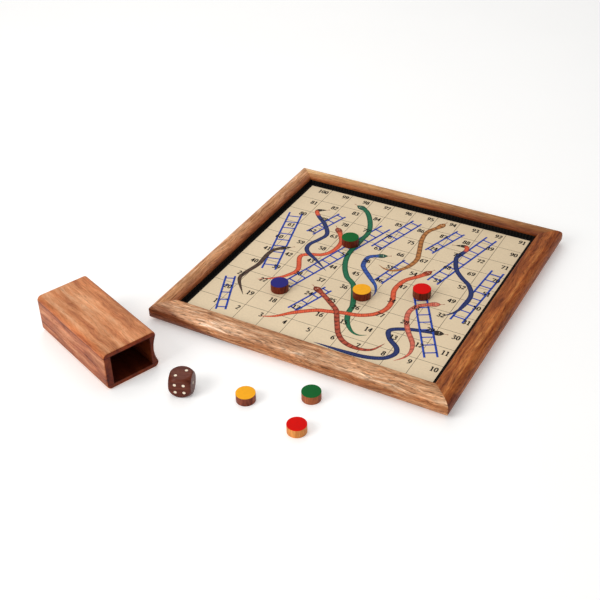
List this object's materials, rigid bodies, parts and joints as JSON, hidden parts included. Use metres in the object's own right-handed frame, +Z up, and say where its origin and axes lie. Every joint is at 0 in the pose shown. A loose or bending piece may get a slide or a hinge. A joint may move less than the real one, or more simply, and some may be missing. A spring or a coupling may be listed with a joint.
{
  "type": "magnetic board game",
  "caption": "Square mitred wooden board with a recessed magnetic printed field on each side, round magnetic tokens, a rounded wooden die and a rectangular wooden dice cup.",
  "frame": {"origin": "under the middle of the laid-out set, on the table", "axes": "+Z up, +X along the board's front rail, +Y from the player's side to the back rail"},
  "size_m": [0.3194, 0.3375, 0.0324],
  "materials": {
    "frame_wood": "oiled, satin",
    "spline_wood": "planed",
    "fibreboard": "raw",
    "steel_sheet": "rolled",
    "snakes_print": "laminated print",
    "ludo_print": "laminated print",
    "black_edging": "flocked",
    "token_wood": "oiled, satin",
    "green_paint": "satin lacquer",
    "blue_paint": "satin lacquer",
    "yellow_paint": "satin lacquer",
    "red_paint": "satin lacquer",
    "magnet_nickel": "nickel plated",
    "die_wood": "oiled, polished",
    "cup_wood": "oiled, satin"
  },
  "bodies": {
    "board": {"front_rail": "frame_wood", "back_rail": "frame_wood", "left_rail": "frame_wood", "right_rail": "frame_wood", "corner_splines": "spline_wood", "core_board": "fibreboard", "upper_steel_sheet": "steel_sheet", "lower_steel_sheet": "steel_sheet", "snakes_sheet": "snakes_print", "ludo_sheet": "ludo_print", "upper_edging": "black_edging", "lower_edging": "black_edging"},
    "green_token": {"green_token_wood": "token_wood", "green_token_top": "green_paint", "green_token_magnet": "magnet_nickel"},
    "blue_token": {"blue_token_wood": "token_wood", "blue_token_top": "blue_paint", "blue_token_magnet": "magnet_nickel"},
    "yellow_token": {"yellow_token_wood": "token_wood", "yellow_token_top": "yellow_paint", "yellow_token_magnet": "magnet_nickel"},
    "red_token": {"red_token_wood": "token_wood", "red_token_top": "red_paint", "red_token_magnet": "magnet_nickel"},
    "spare_yellow_token": {"spare_yellow_token_wood": "token_wood", "spare_yellow_token_top": "yellow_paint", "spare_yellow_token_magnet": "magnet_nickel"},
    "spare_green_token": {"spare_green_token_wood": "token_wood", "spare_green_token_top": "green_paint", "spare_green_token_magnet": "magnet_nickel"},
    "spare_red_token": {"spare_red_token_wood": "token_wood", "spare_red_token_top": "red_paint", "spare_red_token_magnet": "magnet_nickel"},
    "die": {"die": "die_wood"},
    "cup": {"cup_upper_board": "cup_wood", "cup_lower_board": "cup_wood", "cup_near_board": "cup_wood", "cup_far_board": "cup_wood", "cup_base": "cup_wood"}
  },
  "joints": [
    {"name": "green_token_slide", "type": "slide", "parent": "board", "child": "green_token", "axis": [1, 0, 0], "range_m": [-0.07177, 0.12973]},
    {"name": "blue_token_slide", "type": "slide", "parent": "board", "child": "blue_token", "axis": [1, 0, 0], "range_m": [-0.05161, 0.14989]},
    {"name": "yellow_token_slide", "type": "slide", "parent": "board", "child": "yellow_token", "axis": [1, 0, 0], "range_m": [-0.1144, 0.0871]},
    {"name": "red_token_slide", "type": "slide", "parent": "board", "child": "red_token", "axis": [1, 0, 0], "range_m": [-0.15619, 0.04531]},
    {"name": "spare_yellow_token_lift", "type": "slide", "parent": "board", "child": "spare_yellow_token", "axis": [0, 0, 1], "range_m": [0, 0.06]},
    {"name": "spare_green_token_lift", "type": "slide", "parent": "board", "child": "spare_green_token", "axis": [0, 0, 1], "range_m": [0, 0.06]},
    {"name": "spare_red_token_lift", "type": "slide", "parent": "board", "child": "spare_red_token", "axis": [0, 0, 1], "range_m": [0, 0.06]},
    {"name": "die_lift", "type": "slide", "parent": "board", "child": "die", "axis": [0, 0, 1], "range_m": [0, 0.06]},
    {"name": "cup_tip_up", "type": "hinge", "parent": "board", "child": "cup", "pos_m": [-0.15163, -0.11325, 0], "axis": [-0.3633, -0.9317, 0], "range_deg": [0, 90]}
  ]
}
